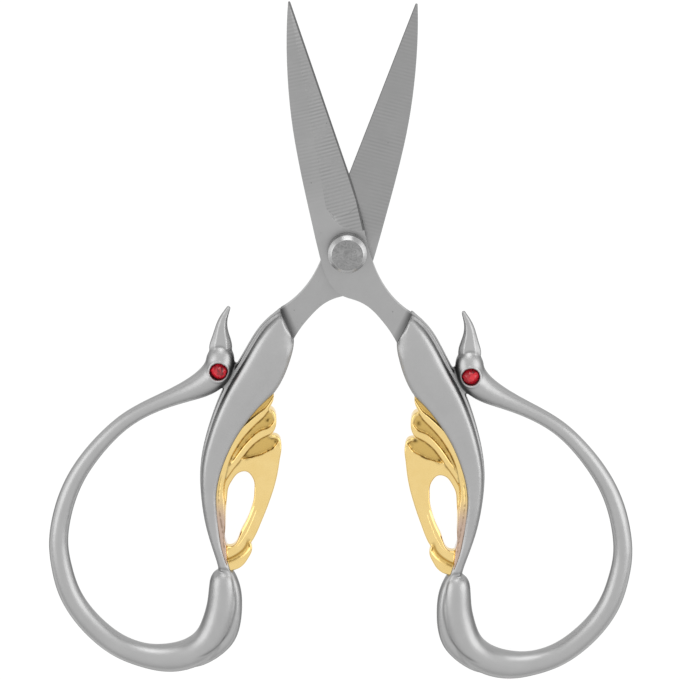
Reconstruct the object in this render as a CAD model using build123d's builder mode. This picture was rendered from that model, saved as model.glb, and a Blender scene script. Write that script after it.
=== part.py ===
from build123d import *
import os

# Stork embroidery scissors, shown opened as they lie on a table.
# Frame: XY is the plane of the scissors, +Y runs to the blade tips, +Z is up.
# The origin is on the pivot axis, at the height of the table.
# Both halves are the same shape: the front half is the rear half turned over.
# Each half is drawn with its own blade along +Y and its handle on the -X side.
# A half's outlines start from a point on its blade's axis, just below the rivet.

# The pose of the two halves, in degrees from closed
rear_angle = 15.15
front_angle = 12.72

# Main sizes, in millimetres
blade_reach = 46.7        # a half's start to its blade's tip
handle_reach = 84.4       # a half's start to the bottom of its finger loop
body_thickness = 5.6      # the thickest place of the cast handle
plate_thickness = 1.6     # sheet of the blade, its shank and its tang
blade_gap = 0.06          # running gap between the two blades
edge_out = 3.95           # blade axis to the cutting edge, beside the rivet
spine_out = 4.85          # blade axis to the spine
grind_ridge_out = 2.05    # blade axis to the ridge of the grind, at its root
edge_thickness = 0.3      # what the grind leaves along the cutting edge
tip_thickness = 0.5       # the blade's thickness at its tip, at the spine
tip_width = 0.44          # width of the blunted tip

# The rivet, from its head in front to its peened tail behind
rivet_diameter = 4.0
rivet_fit = 0.01          # radial clearance in the front blade, which it holds
running_fit = 0.04        # radial clearance in the rear blade and the washer
head_diameter = 7.0
head_top_diameter = 5.9
head_height = 2.9
head_wall = 1.5           # upright part of the head's side
head_round_share = 0.35   # how full the round of the head's rim is
washer_diameter = 6.6
washer_thickness = 0.5
washer_gap = 0.03         # axial play between the washer and the rear blade
tail_diameter = 5.4
tail_round = 0.25

# The cast handle
neck_wire = 2.75          # thinnest place of the loop's wire, at the neck
bulb_diameter = 5.56      # thick end of the loop, beside the tail
head_width = 5.4          # across the bird's head, at the eye
tail_thickness = 3.6      # the tail band beside the bulb
beak_width = 4.1
beak_thickness = 2.7
mouth_rim = 0.12          # casting in front of the shank's faces, at the mouth
mouth_slope_run = 0.8     # the slope down from the body to the shank
head_web = 1.4            # thickness of the web between head and body
tang_hole = 1.6           # the casting runs through this hole and locks the tang

# The eye stones and their cups
stone_diameter = 3.0
stone_height = 1.15
stone_girdle = 0.3
stone_table_share = 0.52
stone_sides = 12
cup_fit = 0.06
cup_depth = 1.2

# The gilded wing
vane_thickness = 2.2      # the broad vane round the teardrop hole
middle_feather_thickness = 2.9
long_feather_thickness = 3.5
wing_key = 0.8            # how far the wing's tongue enters the body
wing_key_thickness = 1.4

overrun = 1.0             # how far cutting solids reach past what they cut

mid_height = body_thickness / 2
half_gap = blade_gap / 2
plate_far = half_gap + plate_thickness

# Shares of handle_reach, across and along the half.
# The rivet's axis
rivet_share = (-0.0017, 0.0070)
# The body from the mouth to the waist: outer point, inner point,
# then its thickness as a share of body_thickness.
body_shares = [
    (-0.104, -0.156, -0.060, -0.210, 0.80),
    (-0.126, -0.185, -0.056, -0.240, 0.92),
    (-0.143, -0.224, -0.058, -0.279, 0.97),
    (-0.157, -0.278, -0.067, -0.323, 0.98),
    (-0.173, -0.339, -0.087, -0.367, 0.98),
    (-0.182, -0.398, -0.111, -0.422, 0.97),
    (-0.185, -0.467, -0.125, -0.478, 0.92),
    (-0.179, -0.534, -0.130, -0.540, 0.85),
    (-0.161, -0.596, -0.123, -0.594, 0.77),
    (-0.134, -0.658, -0.100, -0.655, 0.70),
    (-0.104, -0.709, -0.075, -0.701, 0.65),
    (-0.083, -0.746, -0.055, -0.735, 0.62),
]
# A section of the body: the side walls beside the dome, as shares of its own
# half thickness, then the flange and the dome: across its width, and up.
outer_wall_share = 0.42
inner_wall_share = 0.38
mouth_wall_share = 0.84
flange_shares = [(0.085, 0.10), (0.10, 0.45)]
dome_shares = [(0.20, 0.93), (0.38, 1.00), (0.66, 0.88)]

# The tail band: its point beside the bulb, its free point, share of tail_thickness
tail_shares = [
    (-0.104, -0.709, -0.078, -0.701, 0.80),
    (-0.083, -0.746, -0.056, -0.735, 0.88),
    (-0.064, -0.779, -0.027, -0.773, 0.96),
    (-0.049, -0.817, -0.013, -0.813, 1.00),
    (-0.043, -0.858, -0.006, -0.858, 1.00),
    (-0.047, -0.888, -0.010, -0.895, 1.00),
    (-0.060, -0.908, -0.025, -0.925, 0.98),
    (-0.075, -0.924, -0.048, -0.952, 0.94),
    (-0.093, -0.936, -0.074, -0.970, 0.88),
    (-0.120, -0.944, -0.106, -0.975, 0.80),
]

# The loop's wire from the bulb to the head: centre, then its diameter
# as shares of the bulb, of the neck and of the head.
loop_shares = [
    (-0.072, -0.743, 0.26, 0, 0),
    (-0.071, -0.747, 0.55, 0, 0),
    (-0.069, -0.757, 0.78, 0, 0),
    (-0.064, -0.777, 0.92, 0, 0),
    (-0.056, -0.818, 0.98, 0, 0),
    (-0.055, -0.862, 1.00, 0, 0),
    (-0.064, -0.906, 1.00, 0, 0),
    (-0.097, -0.946, 0.98, 0, 0),
    (-0.147, -0.969, 0.91, 0, 0),
    (-0.191, -0.974, 0.80, 0, 0),
    (-0.243, -0.968, 0.76, 0, 0),
    (-0.293, -0.948, 0.74, 0, 0),
    (-0.339, -0.918, 0.72, 0, 0),
    (-0.378, -0.879, 0, 1.42, 0),
    (-0.408, -0.829, 0, 1.35, 0),
    (-0.428, -0.778, 0, 1.27, 0),
    (-0.436, -0.722, 0, 1.22, 0),
    (-0.435, -0.669, 0, 1.18, 0),
    (-0.426, -0.618, 0, 1.13, 0),
    (-0.410, -0.571, 0, 1.09, 0),
    (-0.386, -0.521, 0, 1.03, 0),
    (-0.358, -0.478, 0, 1.00, 0),
    (-0.322, -0.440, 0, 1.00, 0),
    (-0.282, -0.407, 0, 1.12, 0),
    (-0.245, -0.378, 0, 0.70, 0.37),
    (-0.214, -0.349, 0, 0, 0.92),
    (-0.197, -0.315, 0, 0, 1.00),
    (-0.199, -0.290, 0, 0, 0.92),
    (-0.202, -0.274, 0, 0, 0.72),
    (-0.204, -0.265, 0, 0, 0.40),
]

# The beak: centre, then shares of beak_width and of beak_thickness
beak_shares = [
    (-0.203, -0.277, 0.95, 1.00),
    (-0.205, -0.268, 1.00, 0.96),
    (-0.210, -0.245, 0.76, 0.80),
    (-0.215, -0.220, 0.48, 0.60),
    (-0.214, -0.198, 0.31, 0.44),
    (-0.2105, -0.178, 0.16, 0.32),
]
beak_flat_share = 0.50    # how much of the width is flat
beak_side_share = 0.30    # how much of the height is upright at the sides

eye_share = (-0.1965, -0.3155)
# Corners of the web between the head and the body
web_shares = [(-0.178, -0.290), (-0.157, -0.296), (-0.166, -0.345), (-0.190, -0.345)]

# The shank, from the rivet to the mouth, on both sides
shank_outer_shares = [(-0.048, -0.024), (-0.056, -0.071), (-0.073, -0.114)]
shank_inner_shares = [
    (-0.051, -0.181),
    (-0.038, -0.152),
    (-0.019, -0.121),
    (0.005, -0.100),
    (0.029, -0.085),
    (0.046, -0.061),
    (0.055, -0.028),
]
# The tang inside the casting, and the hole that locks it there
tang_mouth_shares = [(-0.069, -0.199), (-0.095, -0.167)]
tang_end_shares = [(-0.123, -0.306), (-0.096, -0.312)]
tang_hole_share = (-0.102, -0.270)

# Where the grind starts along the blade, and the curve in which it runs out
grind_root_share = 0.080
run_out_shares = [
    (0.60, 0.225),
    (0.45, 0.186),
    (0.08, 0.122),
    (-0.42, 0.093),
    (-1.40, 0.075),
]
grind_overrun_share = 1.35    # how far the grinding wedge reaches, against the grind

# The blade's edges: share of edge_out or spine_out, then share of blade_reach
edge_root_shares = [(0.86, 0.313), (0.97, 0.200), (1.00, 0.100)]
spine_shares = [
    (0.40, 0.857),
    (0.63, 0.739),
    (0.79, 0.632),
    (0.90, 0.525),
    (0.96, 0.418),
    (0.99, 0.310),
    (1.00, 0.203),
    (1.00, 0.021),
]

# The wing: its border on the body, its outer side, its hole and its feathers
border_shares = [
    (-0.071, -0.338),
    (-0.092, -0.369),
    (-0.109, -0.408),
    (-0.122, -0.448),
    (-0.131, -0.494),
    (-0.134, -0.547),
    (-0.129, -0.586),
    (-0.116, -0.625),
    (-0.099, -0.666),
    (-0.079, -0.708),
    (-0.057, -0.741),
]
first_scallop_shares = [(-0.066, -0.364), (-0.051, -0.396), (-0.053, -0.423)]
second_scallop_shares = [(-0.053, -0.423), (-0.040, -0.424), (-0.028, -0.439)]
vane_side_shares = [
    (-0.028, -0.439),
    (-0.020, -0.476),
    (-0.016, -0.522),
    (-0.017, -0.561),
    (-0.022, -0.614),
    (-0.028, -0.660),
    (-0.031, -0.668),
]
curl_shares = [(-0.031, -0.668), (-0.026, -0.695), (-0.038, -0.726), (-0.057, -0.741)]
hole_shares = [
    (-0.087, -0.518),
    (-0.067, -0.526),
    (-0.054, -0.559),
    (-0.051, -0.593),
    (-0.058, -0.641),
    (-0.075, -0.688),
    (-0.085, -0.679),
    (-0.094, -0.645),
    (-0.106, -0.590),
    (-0.108, -0.550),
]
# The rims of the two raised feathers, and the frame past them that each fills
long_feather_shares = [
    (-0.060, -0.345),
    (-0.066, -0.364),
    (-0.085, -0.405),
    (-0.103, -0.452),
    (-0.115, -0.505),
    (-0.119, -0.560),
    (-0.116, -0.600),
    (-0.104, -0.650),
    (-0.088, -0.700),
]
middle_feather_shares = [
    (-0.044, -0.420),
    (-0.053, -0.424),
    (-0.074, -0.452),
    (-0.095, -0.490),
    (-0.109, -0.535),
    (-0.115, -0.580),
    (-0.108, -0.630),
    (-0.094, -0.680),
]
feather_frame_shares = [(-0.200, -0.700), (-0.200, -0.300), (-0.044, -0.300)]


up = Vector(0, 0, 1)


# A point of a half, from its shares of handle_reach
def spot(share_pair):
    return Vector(share_pair[0] * handle_reach, share_pair[1] * handle_reach, 0)


# The plane of a half, turned about the pivot, with the rivet's place on the pivot
def half_plane(across, angle):
    x_dir = Vector(across, 0, 0).rotate(Axis.Z, angle)
    turned = Plane(origin=(0, 0, mid_height), x_dir=x_dir, z_dir=(0, 0, across))
    start = turned.from_local_coords(spot(rivet_share) * -1)
    return Plane(origin=start, x_dir=x_dir, z_dir=turned.z_dir)


rear_half = half_plane(1, -rear_angle)
front_half = half_plane(-1, front_angle)


# A point of the blade, from its shares of one width and of blade_reach
def blade_spot(share_pair, out):
    return Vector(share_pair[0] * out, share_pair[1] * blade_reach, 0)


# An upright plane across a half: X runs from first to second, Y runs up
def station(half, first, second):
    across = (second - first).normalized()
    place = Plane(origin=(first + second) / 2, x_dir=across, z_dir=across.cross(up))
    return half * place.location


# An upright plane square to a path: X runs across the path, Y runs up
def crossing(half, before, centre, after):
    along = (after - before).normalized()
    place = Plane(origin=centre, x_dir=up.cross(along), z_dir=along)
    return half * place.location


# The centre points of a table, each with the points before and after it
def steps(points):
    before = points[:1] + points[:-1]
    after = points[1:] + points[-1:]
    return list(zip(before, points, after))


mouth_outer = spot(body_shares[0][0:2])
mouth_inner = spot(body_shares[0][2:4])


# The wedge that the grinder takes off the far face of a blade
def make_grind(half):
    with BuildPart() as grind:
        for along, ridge_x, edge_x, depth in [
            (grind_root_share * blade_reach, grind_ridge_out, -edge_out, plate_thickness),
            (blade_reach + tip_width, 0, -tip_width, tip_thickness),
        ]:
            far = (edge_x - ridge_x) * grind_overrun_share
            rise = (depth - edge_thickness) * grind_overrun_share
            place = Plane(
                origin=(ridge_x, along, -half_gap - depth), x_dir=(1, 0, 0), z_dir=(0, -1, 0)
            )
            with BuildSketch(half * place.location):
                with BuildLine():
                    Polyline((0, 0), (far, rise), (far, -overrun), close=True)
                make_face()
        loft(ruled=True)
        points = [blade_spot(pair, edge_out) for pair in run_out_shares]
        low = Vector(0, -blade_reach, 0)
        with BuildSketch(half):
            with BuildLine():
                Spline(*points)
                Polyline(points[-1], points[-1] + low, points[0] + low, points[0])
            make_face()
        extrude(amount=body_thickness, both=True, mode=Mode.SUBTRACT)
    return grind.part


# The wedge that thins the blade towards its tip
def make_taper(half):
    root = grind_root_share * blade_reach
    beyond = blade_reach + overrun
    slope = (plate_thickness - tip_thickness) / (blade_reach - root)
    rise = slope * (beyond - root)
    place = Plane(origin=(0, root, -plate_far), x_dir=(0, 1, 0), z_dir=(1, 0, 0))
    with BuildPart() as taper:
        with BuildSketch(half * place.location):
            with BuildLine():
                Polyline(
                    (0, 0), (beyond - root, rise), (beyond - root, -overrun), close=True
                )
            make_face()
        extrude(amount=spine_out + overrun, both=True)
    return taper.part


# Blade, shank and tang in one plate, ground on its far side
def make_blade(half, label, bore, grind, taper):
    tip = Vector(0, blade_reach, 0)
    tip_edge = tip - Vector(tip_width / 2, tip_width / 2, 0)
    tip_spine = tip + Vector(tip_width / 2, -tip_width / 2, 0)
    edge_points = [blade_spot(pair, -edge_out) for pair in edge_root_shares]
    spine_points = [blade_spot(pair, spine_out) for pair in spine_shares]
    outer_points = [spot(pair) for pair in shank_outer_shares]
    inner_points = [spot(pair) for pair in shank_inner_shares]
    tang_points = [spot(pair) for pair in tang_mouth_shares]
    tang_ends = [spot(pair) for pair in tang_end_shares]

    with BuildPart() as blade:
        with BuildSketch(half.offset(-half_gap)):
            with BuildLine():
                ThreePointArc(tip_edge, tip, tip_spine)
                Spline(tip_spine, *spine_points, *reversed(inner_points), mouth_inner)
                Line(mouth_inner, tang_points[0])
                Polyline(tang_points[0], tang_ends[1], tang_ends[0], tang_points[1])
                Line(tang_points[1], mouth_outer)
                Spline(mouth_outer, *reversed(outer_points), *reversed(edge_points))
                Line(edge_points[0], tip_edge)
            make_face()
            with Locations(spot(rivet_share)):
                Circle(rivet_diameter / 2 + bore, mode=Mode.SUBTRACT)
            with Locations(spot(tang_hole_share)):
                Circle(tang_hole / 2, mode=Mode.SUBTRACT)
        extrude(amount=-plate_thickness)
        add(grind, mode=Mode.SUBTRACT)
        add(taper, mode=Mode.SUBTRACT)
    blade.part.label = label
    return blade.part


# The leaf of the body, with its flange along the outer side
def make_body(half):
    with BuildPart() as body:
        for row in body_shares:
            first = spot(row[0:2])
            second = spot(row[2:4])
            half_width = (second - first).length / 2
            rise = row[4] * body_thickness / 2
            at_mouth = row is body_shares[0]
            outer_wall = mouth_wall_share if at_mouth else outer_wall_share
            inner_wall = mouth_wall_share if at_mouth else inner_wall_share
            flange = [(-half_width, outer_wall * rise)] + [
                (-half_width + 2 * a * half_width, (outer_wall + b * (1 - outer_wall)) * rise)
                for a, b in flange_shares
            ]
            dome = [flange[-1]] + [
                (-half_width + 2 * a * half_width, b * rise) for a, b in dome_shares
            ] + [(half_width, inner_wall * rise)]
            with BuildSketch(station(half, first, second)):
                with BuildLine():
                    Line((-half_width, -outer_wall * rise), flange[0])
                    Polyline(*flange)
                    Spline(*dome)
                    Line(dome[-1], (half_width, -inner_wall * rise))
                    Spline(*[(x, -y) for x, y in reversed(dome)])
                    Polyline(*[(x, -y) for x, y in reversed(flange)])
                make_face()
        loft()
        across = (mouth_inner - mouth_outer).normalized()
        inward = across.cross(up)
        rim = plate_far + mouth_rim
        slope_rise = body_thickness / 2 - rim
        for side in (1, -1):
            line = Vector(0, 0, side * rim) + mouth_outer
            climb = inward * mouth_slope_run + up * (side * slope_rise)
            place = Plane(origin=line, x_dir=across, z_dir=across.cross(climb) * side)
            split(bisect_by=Plane(half * place.location), keep=Keep.TOP)
    return body.part


# The strip that carries the waist on beside the bulb
def make_tail(half):
    with BuildPart() as tail:
        for row in tail_shares:
            first = spot(row[0:2])
            second = spot(row[2:4])
            with BuildSketch(station(half, first, second)):
                Ellipse((second - first).length / 2, row[4] * tail_thickness / 2)
        loft()
    return tail.part


# The loop's wire, from its bulb round to the bird's head
def make_loop(half):
    centres = [spot(row[0:2]) for row in loop_shares]
    with BuildPart() as loop:
        for (before, centre, after), row in zip(steps(centres), loop_shares):
            diameter = row[2] * bulb_diameter + row[3] * neck_wire + row[4] * head_width
            with BuildSketch(crossing(half, before, centre, after)):
                Circle(diameter / 2)
        loft()
    return loop.part


# The beak, a tapered horn with a flat face and a bevel down each side
def make_beak(half):
    centres = [spot(row[0:2]) for row in beak_shares]
    with BuildPart() as beak:
        for (before, centre, after), row in zip(steps(centres), beak_shares):
            wide = row[2] * beak_width / 2
            high = row[3] * beak_thickness / 2
            corners = [
                (-wide, beak_side_share * high),
                (-wide * beak_flat_share, high),
                (wide * beak_flat_share, high),
                (wide, beak_side_share * high),
            ]
            lower = [(x, -y) for x, y in reversed(corners)]
            with BuildSketch(crossing(half, before, centre, after)):
                with BuildLine():
                    Polyline(*corners, *lower, close=True)
                make_face()
        loft()
    return beak.part


# A wing with its two raised feathers, its hole and the tongue in the body
def make_wing(half, label):
    border = [spot(pair) for pair in border_shares]
    first_scallop = [spot(pair) for pair in first_scallop_shares]
    second_scallop = [spot(pair) for pair in second_scallop_shares]
    side = [spot(pair) for pair in vane_side_shares]
    curl = [spot(pair) for pair in curl_shares]
    hole = [spot(pair) for pair in hole_shares]
    middle = [spot(pair) for pair in middle_feather_shares]
    long = [spot(pair) for pair in long_feather_shares]
    frame = [spot(pair) for pair in feather_frame_shares]
    into_body = Vector(-wing_key, 0, 0)

    with BuildPart() as wing:
        for thickness, rim in (
            (vane_thickness, None),
            (middle_feather_thickness, middle),
            (long_feather_thickness, long),
        ):
            with BuildSketch(half.offset(-thickness / 2)):
                with BuildLine():
                    Spline(*border)
                    Spline(*reversed(curl))
                    Spline(*reversed(side))
                    Spline(*reversed(second_scallop))
                    Spline(*reversed(first_scallop))
                    Line(first_scallop[0], border[0])
                make_face()
                if rim:
                    with BuildLine():
                        Spline(*rim)
                        Polyline(rim[-1], *frame, rim[0])
                    make_face(mode=Mode.INTERSECT)
            extrude(amount=thickness)
        with BuildSketch(half.offset(-body_thickness / 2)):
            with BuildLine():
                Spline(*hole, periodic=True)
            make_face()
        extrude(amount=body_thickness, mode=Mode.SUBTRACT)
        with BuildSketch(half.offset(-wing_key_thickness / 2)):
            with BuildLine():
                Spline(*border[1:-2])
                Line(border[-3], border[-3] + into_body)
                Spline(*[point + into_body for point in reversed(border[1:-2])])
                Line(border[1] + into_body, border[1])
            make_face()
        extrude(amount=wing_key_thickness)
    wing.part.label = label
    return wing.part


# One casting: body, tail, loop, head and beak, with its cups and its socket
def make_handle(half, label, blade, wing):
    cup_floor = head_width / 2 - cup_depth
    with BuildPart() as handle:
        add(make_body(half))
        add(make_tail(half))
        add(make_loop(half))
        add(make_beak(half))
        with BuildSketch(half.offset(-head_web / 2)):
            with BuildLine():
                Polyline(*[spot(pair) for pair in web_shares], close=True)
            make_face()
        extrude(amount=head_web)
        for side in (1, -1):
            with BuildSketch(half.offset(side * cup_floor)):
                with Locations(spot(eye_share)):
                    Circle(stone_diameter / 2 + cup_fit)
            extrude(amount=side * (cup_depth + overrun), mode=Mode.SUBTRACT)
        add(blade, mode=Mode.SUBTRACT)
        add(wing, mode=Mode.SUBTRACT)
    handle.part.label = label
    return handle.part


# A cut stone: a flat back and a girdle, then facets rising to the table
def make_stone(half, side, label):
    floor = head_width / 2 - cup_depth
    crown = floor + stone_girdle
    with BuildPart() as stone:
        with BuildSketch(half.offset(side * floor)):
            with Locations(spot(eye_share)):
                RegularPolygon(stone_diameter / 2, stone_sides)
        extrude(amount=side * stone_girdle)
        for height, radius in (
            (crown, stone_diameter / 2),
            (floor + stone_height, stone_table_share * stone_diameter / 2),
        ):
            with BuildSketch(half.offset(side * height)):
                with Locations(spot(eye_share)):
                    RegularPolygon(radius, stone_sides)
        loft(ruled=True)
    stone.part.label = label
    return stone.part


# The plates, each with the hole and clearance that the rivet needs
blades = {}
for half, label, bore in (
    (rear_half, "blade_rear", running_fit),
    (front_half, "blade_front", rivet_fit),
):
    blades[label] = make_blade(half, label, bore, make_grind(half), make_taper(half))
wings = {
    "wing_left": make_wing(rear_half, "wing_left"),
    "wing_right": make_wing(front_half, "wing_right"),
}
handles = {
    "handle_left": make_handle(
        rear_half, "handle_left", blades["blade_rear"], wings["wing_left"]
    ),
    "handle_right": make_handle(
        front_half, "handle_right", blades["blade_front"], wings["wing_right"]
    ),
}
stones = {}
# The front half is turned over, so its front stone lies on its side -1
for half, side, label in (
    (rear_half, 1, "stone_left_front"),
    (rear_half, -1, "stone_left_rear"),
    (front_half, -1, "stone_right_front"),
    (front_half, 1, "stone_right_rear"),
):
    stones[label] = make_stone(half, side, label)

# The rivet: a button head in front, a shank through both plates, a peened tail
front_face = mid_height + plate_far
rear_face = mid_height - plate_far
washer_top = rear_face - washer_gap
washer_bottom = washer_top - washer_thickness
head_top = front_face + head_height
with BuildPart() as pivot_rivet:
    with BuildSketch(Plane.XZ):
        with BuildLine():
            Polyline(
                (0, 0),
                (tail_diameter / 2 - tail_round, 0),
                (tail_diameter / 2, tail_round),
                (tail_diameter / 2, washer_bottom),
                (rivet_diameter / 2, washer_bottom),
                (rivet_diameter / 2, front_face),
                (head_diameter / 2, front_face),
                (head_diameter / 2, front_face + head_wall),
            )
            ThreePointArc(
                (head_diameter / 2, front_face + head_wall),
                (
                    head_top_diameter / 2 + (head_diameter - head_top_diameter) * head_round_share,
                    head_top - (head_height - head_wall) * head_round_share,
                ),
                (head_top_diameter / 2, head_top),
            )
            Polyline((head_top_diameter / 2, head_top), (0, head_top), (0, 0))
        make_face()
    revolve(axis=Axis.Z)
pivot_rivet.part.label = "pivot_rivet"

with BuildPart() as pivot_washer:
    with BuildSketch(Plane.XY.offset(washer_bottom)):
        Circle(washer_diameter / 2)
        Circle(rivet_diameter / 2 + running_fit, mode=Mode.SUBTRACT)
    extrude(amount=washer_thickness)
pivot_washer.part.label = "pivot_washer"

os.makedirs("parts", exist_ok=True)
for piece in (
    *blades.values(),
    *handles.values(),
    *wings.values(),
    *stones.values(),
    pivot_rivet.part,
    pivot_washer.part,
):
    print(piece.label, round(piece.volume, 1), piece.is_valid, len(piece.solids()))
    export_step(piece, f"parts/{piece.label}.step")
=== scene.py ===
import bpy, bmesh, math
import numpy as np
from mathutils import Matrix, Vector


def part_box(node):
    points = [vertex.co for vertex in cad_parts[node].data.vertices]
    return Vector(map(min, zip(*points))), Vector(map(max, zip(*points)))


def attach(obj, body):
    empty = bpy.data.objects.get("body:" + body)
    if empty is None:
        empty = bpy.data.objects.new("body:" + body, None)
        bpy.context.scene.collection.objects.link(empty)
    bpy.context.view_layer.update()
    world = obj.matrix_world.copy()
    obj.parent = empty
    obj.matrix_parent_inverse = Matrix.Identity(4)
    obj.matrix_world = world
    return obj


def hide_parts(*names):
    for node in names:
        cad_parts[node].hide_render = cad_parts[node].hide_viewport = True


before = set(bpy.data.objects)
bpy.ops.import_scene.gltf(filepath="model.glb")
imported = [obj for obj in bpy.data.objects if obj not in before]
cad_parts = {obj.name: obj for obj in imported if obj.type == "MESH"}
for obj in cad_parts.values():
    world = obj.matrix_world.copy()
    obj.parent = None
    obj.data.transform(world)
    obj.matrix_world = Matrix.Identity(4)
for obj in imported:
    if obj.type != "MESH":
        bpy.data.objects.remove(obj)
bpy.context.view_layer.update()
print("frame loaded:", len(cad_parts), "solids")

mm = 0.001
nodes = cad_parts
midHeight = 2.8  # the plane between the two blades, in mm above the table
handleReach = 84.4  # a half's own start to the bottom of its finger loop, in mm


def spot(pair):  # a place on a half from its shares of handleReach, in metres
    return Vector((pair[0], pair[1], 0)) * handleReach * mm


rivetShare = (-0.0017, 0.0070)  # the rivet's axis on a half
mouth = ((-0.104, -0.156), (-0.060, -0.210))  # where a shank leaves its casting


# Both halves have one shape: the front half is the rear one turned over.
def halfMatrix(angle, across):
    x = Matrix.Rotation(math.radians(angle), 3, "Z") @ Vector((across, 0, 0))
    z = Vector((0, 0, across))
    turn = Matrix((x, z.cross(x), z)).transposed().to_4x4()
    return Matrix.Translation((0, 0, midHeight * mm)) @ turn @ Matrix.Translation(-spot(rivetShare))


halves = {
    "rear": {"angle": -15.15, "matrix": halfMatrix(-15.15, 1), "body": "rear_half"},
    "front": {"angle": 12.72, "matrix": halfMatrix(12.72, -1), "body": "front_half"},
}


def linear(code):  # sRGB hex to linear
    parts = [int(code[i : i + 2], 16) / 255 for i in (1, 3, 5)]
    return [c / 12.92 if c <= 0.04045 else ((c + 0.055) / 1.055) ** 2.4 for c in parts] + [1]


def addNode(tree, kind, settings=None, links=None):
    node = tree.nodes.new(kind)
    for name, value in (settings or {}).items():
        if isinstance(name, str) and hasattr(node, name):
            setattr(node, name, value)
        else:
            node.inputs[name].default_value = value
    for name, source in (links or {}).items():
        tree.links.new(source, node.inputs[name])
    return node


def newMaterial(name):
    material = bpy.data.materials.new(name)
    material.use_nodes = True
    material.node_tree.nodes.clear()
    return material, material.node_tree


def perMetre(sizeInMm):  # a noise's scale from the size of its grains
    return 1 / (sizeInMm * mm)


# Nickel plate over a zinc die casting, barrel finished: satin, so highlights spread
# softly, with a faint unevenness left by the mould.
def makeSatinNickel():
    look = {  # sizes and depths in mm, here and in the other materials
        "colour": "#B3B3B3", "tarnish": "#A8A8A8", "tarnishSize": 5.0,
        "side": "#6C6C6C", "recessShade": "#3C3C3C", "roughness": (0.36, 0.44), "grain": 0.16,
        "grainDepth": 0.010, "wave": 2.2, "waveDepth": 0.05,
    }
    material, tree = newMaterial("satinNickelPlate")
    coords = addNode(tree, "ShaderNodeTexCoord")
    place = coords.outputs["Object"]
    cloud = addNode(
        tree, "ShaderNodeTexNoise",
        {"Scale": perMetre(look["tarnishSize"]), "Detail": 4.0, "Roughness": 0.6},
        {"Vector": place},
    )
    colour = addNode(
        tree, "ShaderNodeMix",
        {"data_type": "RGBA", 6: linear(look["tarnish"]), 7: linear(look["colour"])},
        {0: cloud.outputs[0]},
    )
    # painted shade: the castings' steep sides are darkened towards the side colour
    side = addNode(tree, "ShaderNodeAttribute", {"attribute_name": "sideShadeShare"})
    colour = addNode(
        tree, "ShaderNodeMix", {"data_type": "RGBA", 7: linear(look["side"])},
        {0: side.outputs["Fac"], 6: colour.outputs[2]},
    )
    # painted shade in the cut lines, the crevice and the creases of the castings
    recessShade = addNode(tree, "ShaderNodeAttribute", {"attribute_name": "recessShadeShare"})
    colour = addNode(
        tree, "ShaderNodeMix", {"data_type": "RGBA", 7: linear(look["recessShade"])},
        {0: recessShade.outputs["Fac"], 6: colour.outputs[2]},
    )
    gloss = addNode(
        tree, "ShaderNodeMapRange",
        {"To Min": look["roughness"][1], "To Max": look["roughness"][0]},
        {"Value": cloud.outputs[0]},
    )
    grain = addNode(
        tree, "ShaderNodeTexNoise",
        {"Scale": perMetre(look["grain"]), "Detail": 2.0}, {"Vector": place},
    )
    wave = addNode(
        tree, "ShaderNodeTexNoise",
        {"Scale": perMetre(look["wave"]), "Detail": 1.0}, {"Vector": place},
    )
    broad = addNode(
        tree, "ShaderNodeBump",
        {"Strength": 0.5, "Distance": look["waveDepth"] * mm}, {"Height": wave.outputs[0]},
    )
    fine = addNode(
        tree, "ShaderNodeBump",
        {"Strength": 0.6, "Distance": look["grainDepth"] * mm},
        {"Height": grain.outputs[0], "Normal": broad.outputs[0]},
    )
    shader = addNode(
        tree, "ShaderNodeBsdfPrincipled", {"Metallic": 1.0},
        {"Base Color": colour.outputs[2], "Roughness": gloss.outputs[0], "Normal": fine.outputs[0]},
    )
    addNode(tree, "ShaderNodeOutputMaterial", links={"Surface": shader.outputs[0]})
    return material
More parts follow.
